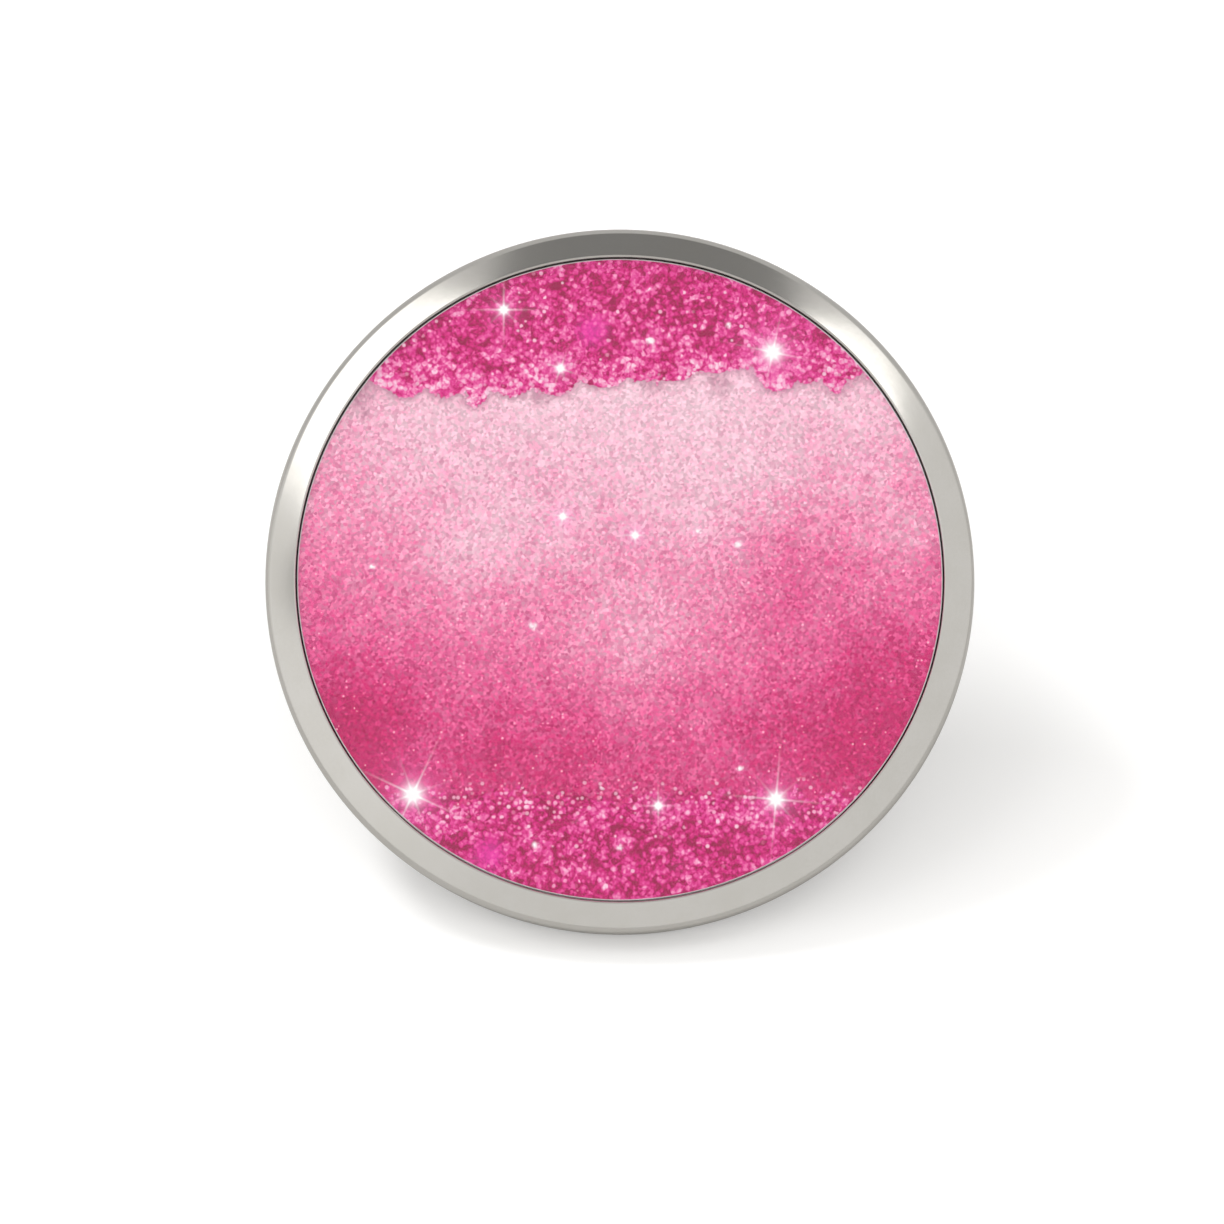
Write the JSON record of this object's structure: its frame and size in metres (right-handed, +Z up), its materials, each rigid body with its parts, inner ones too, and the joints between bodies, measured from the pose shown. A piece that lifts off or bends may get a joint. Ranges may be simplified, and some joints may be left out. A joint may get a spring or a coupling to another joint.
{
  "type": "lapel pin",
  "caption": "Round lapel pin: a printed disc under a clear cover in a bevelled metal frame, with a soldered post and a butterfly clutch whose ears squeeze to release it.",
  "frame": {"origin": "on the table, under the middle of the resting pin: the pin leans on the lower back edge of its frame and on its clutch's two ears", "axes": "+Z up from the table, +X to the right seen from the front, the printed face looks towards -Y and up"},
  "size_m": [0.028, 0.0228, 0.0182],
  "materials": {
    "frame_metal": "satin nickel plate on a cast frame",
    "cover": "clear and glossy",
    "print": "printed with pink glitter shades, white edge",
    "adhesive": "soft double-sided adhesive",
    "post_metal": "bright nickel plate",
    "solder": "bright solder",
    "clutch_plate_metal": "bright nickel plate",
    "clutch_spring_metal": "bright nickel plate"
  },
  "bodies": {
    "badge": {"bezel_frame": "frame_metal", "clear_cover": "cover", "print_disc": "print", "adhesive_pad": "adhesive", "pin_post": "post_metal", "solder_ring": "solder"},
    "clutch": {"clutch_base_plate": "clutch_plate_metal", "spring_bow": "clutch_spring_metal"},
    "left_ear": {"left_wing": "clutch_spring_metal"},
    "right_ear": {"right_wing": "clutch_spring_metal"}
  },
  "joints": [
    {"name": "clutch_slide", "type": "slide", "parent": "badge", "child": "clutch", "axis": [0, 0.6131, -0.79], "range_m": [0, 0.011]},
    {"name": "left_ear_squeeze", "type": "slide", "parent": "clutch", "child": "left_ear", "axis": [1, 0, 0], "range_m": [0, 0.0005], "stiffness_N_per_m": 3000, "springref_m": -0.0002, "deforming": ["spring_bow"]},
    {"name": "right_ear_squeeze", "type": "slide", "parent": "clutch", "child": "right_ear", "axis": [-1, 0, 0], "range_m": [0, 0.0005], "stiffness_N_per_m": 3000, "springref_m": -0.0002, "deforming": ["spring_bow"]}
  ],
  "couplings": [
    {"joint": "right_ear_squeeze", "follows": "left_ear_squeeze", "ratio": 1}
  ]
}
